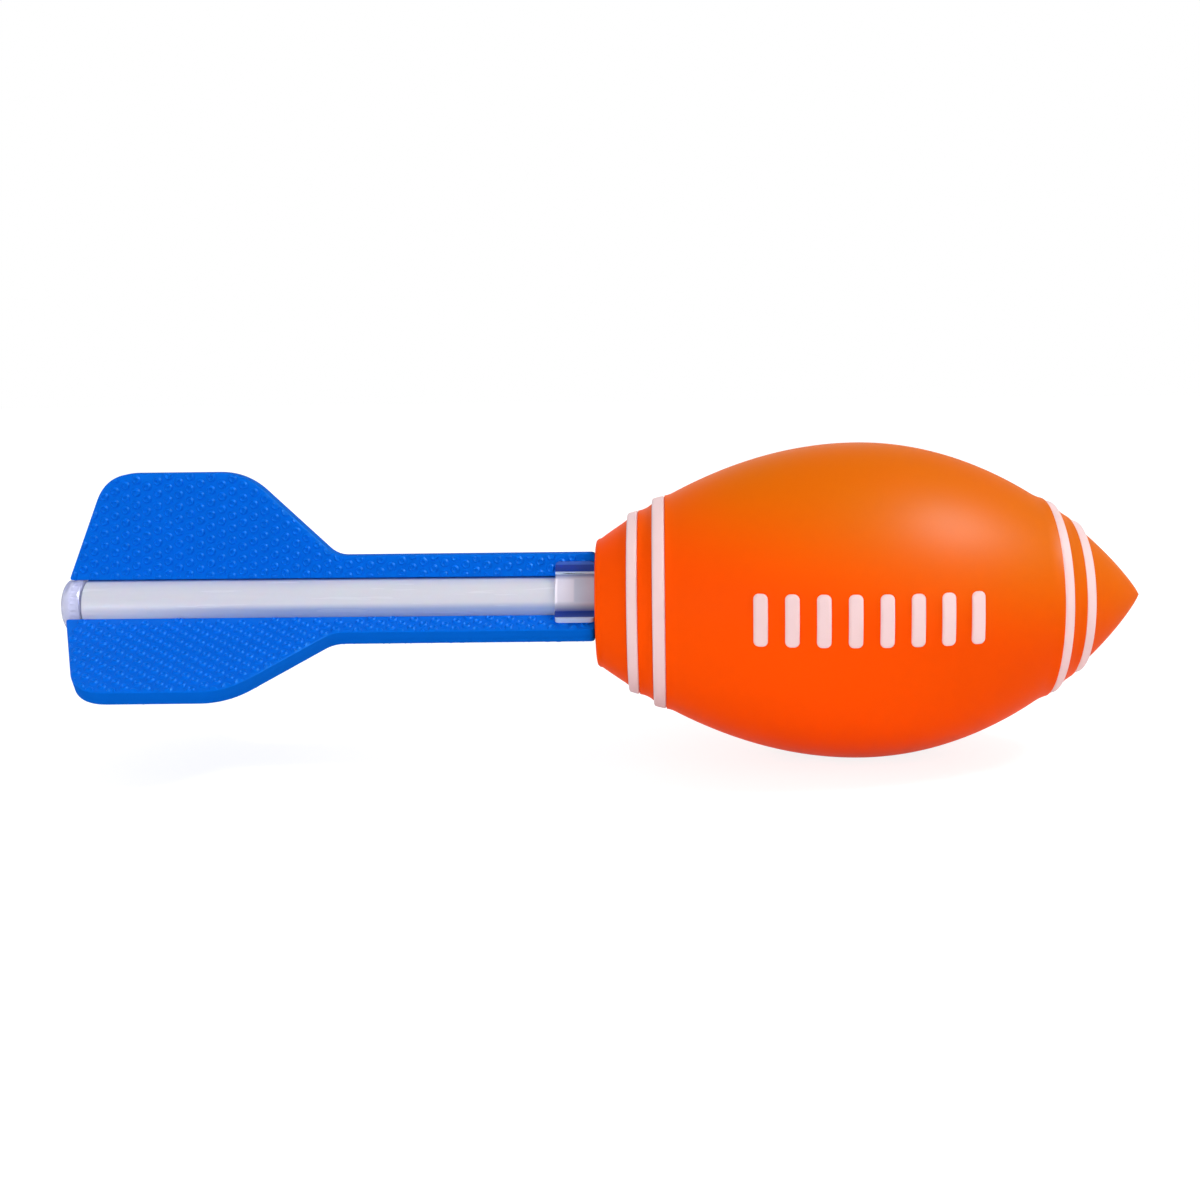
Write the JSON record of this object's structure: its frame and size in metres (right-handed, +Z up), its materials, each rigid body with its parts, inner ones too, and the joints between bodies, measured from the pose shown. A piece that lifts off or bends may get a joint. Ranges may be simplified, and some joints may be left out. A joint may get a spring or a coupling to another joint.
{
  "type": "vortex throwing toy",
  "caption": "Foam football head on a finned foam and plastic tail, thrown by hand so that it flies straight.",
  "frame": {"origin": "on the toy's axis, half way between the tail's rear tip and the nose", "axes": "+X along the toy's axis towards the nose, +Z up along the top fin, and the lace bars on the -Y side"},
  "size_m": [0.3186, 0.0941, 0.0932],
  "materials": {
    "orange_foam": "matt self-skinned foam with fine pores and a soft sheen",
    "white_paint": "satin paint on raised foam",
    "blue_foam": "matt foam sheet with an embossed pattern of small domes and smooth cut edges",
    "milky_plastic": "glossy translucent moulded plastic",
    "clear_plastic": "clear moulded plastic"
  },
  "bodies": {
    "root": {"head_foam": "orange_foam", "rear_band_1": "white_paint", "rear_band_2": "white_paint", "nose_band_1": "white_paint", "nose_band_2": "white_paint", "lace_bar_1": "white_paint", "lace_bar_2": "white_paint", "lace_bar_3": "white_paint", "lace_bar_4": "white_paint", "lace_bar_5": "white_paint", "lace_bar_6": "white_paint", "lace_bar_7": "white_paint", "lace_bar_8": "white_paint", "shaft_tube": "milky_plastic", "end_cap": "clear_plastic", "ferrule": "clear_plastic", "top_fin": "blue_foam", "right_fin": "blue_foam", "left_fin": "blue_foam"}
  },
  "joints": []
}
